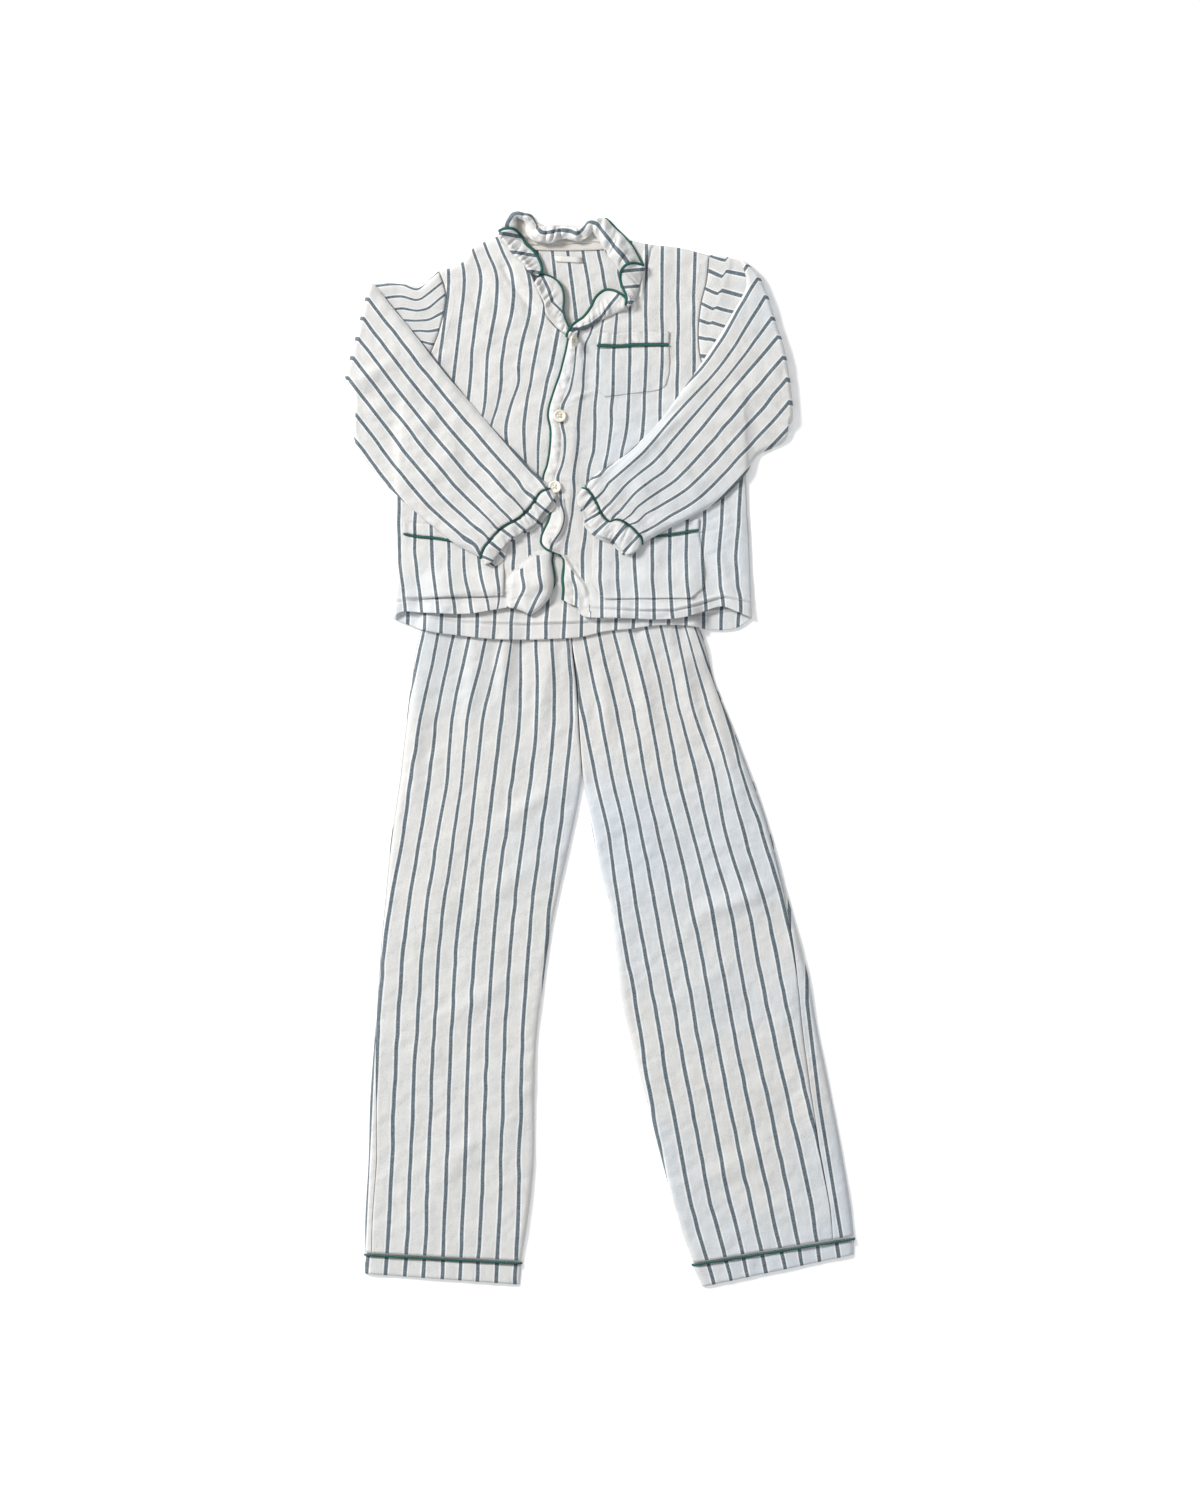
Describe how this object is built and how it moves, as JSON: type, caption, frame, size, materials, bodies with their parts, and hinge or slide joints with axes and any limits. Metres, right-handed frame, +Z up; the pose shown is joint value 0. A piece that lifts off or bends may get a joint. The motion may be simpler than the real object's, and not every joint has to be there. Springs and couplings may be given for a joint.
{
  "type": "pyjama set",
  "caption": "Striped pyjama set laid flat: a collared, buttoned jacket with its arms folded across the front, over straight trousers, with corded edges, patch pockets and turned hems.",
  "frame": {"origin": "middle of the set's bounding box, on the floor it lies on", "axes": "+X towards the wearer's left side (right in the picture), +Y towards the collar, +Z up from the floor"},
  "size_m": [0.61, 1.2884, 0.0256],
  "materials": {
    "cloth": "matt woven cotton with slate stripes",
    "piping": "matt cotton cord",
    "label": "matt woven tape",
    "button": "satin"
  },
  "bodies": {
    "root": {"trouser_back_right": "cloth", "trouser_front_right": "cloth", "trouser_back_left": "cloth", "trouser_front_left": "cloth", "waistband": "cloth", "hem_band_right": "cloth", "hem_band_left": "cloth", "jacket_back": "cloth", "neck_binding": "cloth", "jacket_front_right": "cloth", "jacket_front_left": "cloth", "pocket_right": "cloth", "pocket_right_band": "cloth", "pocket_left": "cloth", "pocket_left_band": "cloth", "chest_pocket": "cloth", "chest_pocket_band": "cloth", "sleeve_right": "cloth", "sleeve_left": "cloth", "cuff_right": "cloth", "cuff_left": "cloth", "lapel_facing_right": "cloth", "lapel_facing_left": "cloth", "collar": "cloth", "hem_piping_right": "piping", "hem_piping_left": "piping", "front_piping_right": "piping", "front_piping_left": "piping", "pocket_right_piping": "piping", "pocket_left_piping": "piping", "chest_pocket_piping": "piping", "cuff_piping_right": "piping", "cuff_piping_left": "piping", "lapel_piping_right": "piping", "lapel_piping_left": "piping", "collar_piping_right": "piping", "collar_piping_left": "piping", "neck_label": "label", "button_1": "button", "button_2": "button", "button_3": "button"}
  },
  "joints": []
}
